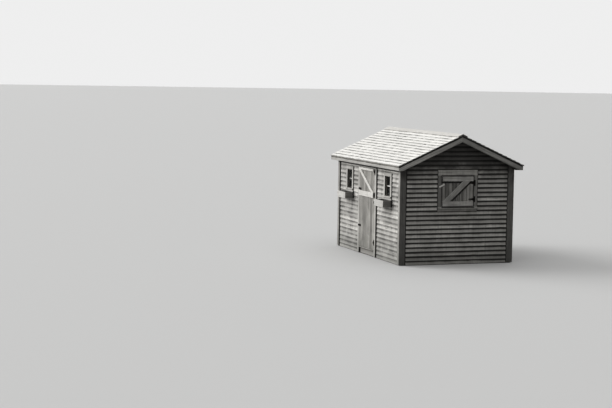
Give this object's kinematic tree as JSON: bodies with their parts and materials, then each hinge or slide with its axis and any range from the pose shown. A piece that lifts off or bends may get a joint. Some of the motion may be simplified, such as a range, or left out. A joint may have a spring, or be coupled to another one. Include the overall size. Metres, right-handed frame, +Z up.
{
  "type": "small timber boathouse",
  "caption": "Small gable-roofed timber boathouse with a two-leaf stable door, side windows over planting boxes and a shuttered gable window.",
  "frame": {"origin": "on the level ground under the centre of the middle bearer, midway along and across the walls", "axes": "+X across the gables away from the door wall, +Y along the long walls away from the shuttered gable, +Z up"},
  "size_m": [3.0758, 4.36, 2.8832],
  "materials": {
    "black_ironwork": "black paint over wrought iron",
    "door_boards": "weathered bare boards",
    "floor_timber": "rough sawn",
    "planting_box_timber": "weathered bare boards",
    "roof_shingles": "silver weathered cedar",
    "roof_timber": "rough sawn",
    "shutter_boards": "weathered bare boards",
    "trim_timber": "weathered bare boards",
    "wall_timber": "weathered clapboard",
    "window_glass": "old clear glass"
  },
  "bodies": {
    "building": {"back_side_bearer": "floor_timber", "back_side_fascia": "trim_timber", "back_side_rafters": "roof_timber", "back_side_roof_boards": "roof_timber", "back_side_shingles": "roof_shingles", "back_side_soffit": "trim_timber", "back_wall": "wall_timber", "door_bolt_keepers": "black_ironwork", "door_head_casing": "trim_timber", "door_jamb_hinges": "black_ironwork", "door_side_bearer": "floor_timber", "door_side_casings": "trim_timber", "door_side_fascia": "trim_timber", "door_side_rafters": "roof_timber", "door_side_roof_boards": "roof_timber", "door_side_shingles": "roof_shingles", "door_side_soffit": "trim_timber", "door_sill": "trim_timber", "door_wall_far": "wall_timber", "door_wall_header": "wall_timber", "door_wall_near": "wall_timber", "end_bearers": "floor_timber", "far_planting_box": "planting_box_timber", "far_window_casing": "trim_timber", "far_window_glass": "window_glass", "far_window_sash": "trim_timber", "floor_deck": "floor_timber", "front_back_side_corner_board": "trim_timber", "front_door_side_corner_board": "trim_timber", "front_gable_wall": "wall_timber", "front_rake_boards": "trim_timber", "middle_bearer": "floor_timber", "near_planting_box": "planting_box_timber", "near_window_casing": "trim_timber", "near_window_glass": "window_glass", "near_window_sash": "trim_timber", "rear_back_side_corner_board": "trim_timber", "rear_door_side_corner_board": "trim_timber", "rear_gable_wall": "wall_timber", "rear_rake_boards": "trim_timber", "ridge_beam": "roof_timber", "ridge_cap": "roof_shingles", "shutter_boards": "shutter_boards", "shutter_casing": "trim_timber", "shutter_hinges": "black_ironwork", "shutter_ledges": "shutter_boards", "shutter_turn_button": "shutter_boards"},
    "upper_leaf": {"upper_leaf_boards": "door_boards", "upper_leaf_bolt": "black_ironwork", "upper_leaf_hinges": "black_ironwork", "upper_leaf_ledges": "door_boards"},
    "lower_leaf": {"lower_leaf_boards": "door_boards", "lower_leaf_bolt": "black_ironwork", "lower_leaf_hinges": "black_ironwork", "lower_leaf_ledges": "door_boards"}
  },
  "joints": [
    {"name": "upper_leaf_hinge", "type": "hinge", "parent": "building", "child": "upper_leaf", "pos_m": [-1.376, -0.441, 1.681], "axis": [0, 0, 1], "range_deg": [0, 140]},
    {"name": "lower_leaf_hinge", "type": "hinge", "parent": "building", "child": "lower_leaf", "pos_m": [-1.376, -0.441, 0.759], "axis": [0, 0, 1], "range_deg": [0, 140]}
  ]
}
